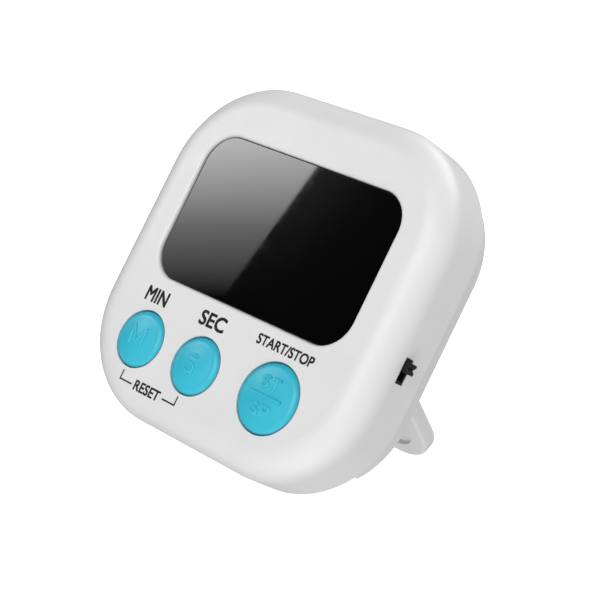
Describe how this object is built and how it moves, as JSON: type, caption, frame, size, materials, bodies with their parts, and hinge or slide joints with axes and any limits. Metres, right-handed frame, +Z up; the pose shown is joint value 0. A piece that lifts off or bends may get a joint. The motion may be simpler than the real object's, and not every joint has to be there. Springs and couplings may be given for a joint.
{
  "type": "digital kitchen timer",
  "caption": "Square round-cornered digital countdown timer leaning back on a fold-out magnetic stand, with a dark display, round blue keys and a side switch.",
  "frame": {"origin": "on the surface the timer stands on, under the middle of its bounding box", "axes": "+Z up, -Y the way the display faces before it leans back, +X to the viewer's right where the power switch is"},
  "size_m": [0.0662, 0.0448, 0.0601],
  "materials": {
    "white_shell": "satin gloss white ABS",
    "lens": "polished black acrylic",
    "key_blue": "satin light blue silicone",
    "black_plastic": "black moulded",
    "lcd": "liquid crystal glass",
    "strip": "conductive elastomer",
    "board": "green solder mask",
    "gold_pads": "gold plated",
    "epoxy": "black epoxy",
    "steel": "nickel plated",
    "mat": "translucent silicone",
    "brass": "rolled",
    "ceramic": "fired ceramic",
    "cell_wrap": "plain wrapped can",
    "magnet": "nickel plated magnet"
  },
  "bodies": {
    "case": {"front_shell": "white_shell", "back_shell": "white_shell", "display_lens": "lens", "lcd_frame": "black_plastic", "lcd_glass": "lcd", "lcd_contact_strip": "strip", "circuit_board": "board", "contact_pads": "gold_pads", "controller_blob": "epoxy", "clock_crystal": "steel", "keypad_mat": "mat", "buzzer_disc": "brass", "buzzer_ceramic": "ceramic", "switch_housing": "black_plastic", "battery_cell": "cell_wrap", "battery_contact_positive": "steel", "battery_contact_negative": "steel", "case_screws": "steel", "board_screws": "steel"},
    "minute_key": {"minute_button": "key_blue"},
    "second_key": {"second_button": "key_blue"},
    "start_stop_key": {"start_stop_button": "key_blue"},
    "switch_slider": {"power_switch_knob": "black_plastic"},
    "door": {"battery_door": "white_shell"},
    "stand_flap": {"stand": "white_shell", "stand_magnets": "magnet"}
  },
  "joints": [
    {"name": "minute_press", "type": "slide", "parent": "case", "child": "minute_key", "axis": [0, 0.8625, -0.506], "range_m": [0, 0.0008], "stiffness_N_per_m": 1500, "deforming": ["keypad_mat"]},
    {"name": "second_press", "type": "slide", "parent": "case", "child": "second_key", "axis": [0, 0.8625, -0.506], "range_m": [0, 0.0008], "stiffness_N_per_m": 1500, "deforming": ["keypad_mat"]},
    {"name": "start_stop_press", "type": "slide", "parent": "case", "child": "start_stop_key", "axis": [0, 0.8625, -0.506], "range_m": [0, 0.0008], "stiffness_N_per_m": 1500, "deforming": ["keypad_mat"]},
    {"name": "power_slide", "type": "slide", "parent": "case", "child": "switch_slider", "axis": [0, -0.506, -0.8625], "range_m": [0, 0.0015]},
    {"name": "door_lift", "type": "slide", "parent": "case", "child": "door", "axis": [0, 0.8625, -0.506], "range_m": [0, 0.012]},
    {"name": "stand_fold", "type": "hinge", "parent": "case", "child": "stand_flap", "pos_m": [-0.00065, 0.00271, 0.02143], "axis": [1, 0, 0], "range_deg": [-66.4, 0]}
  ]
}
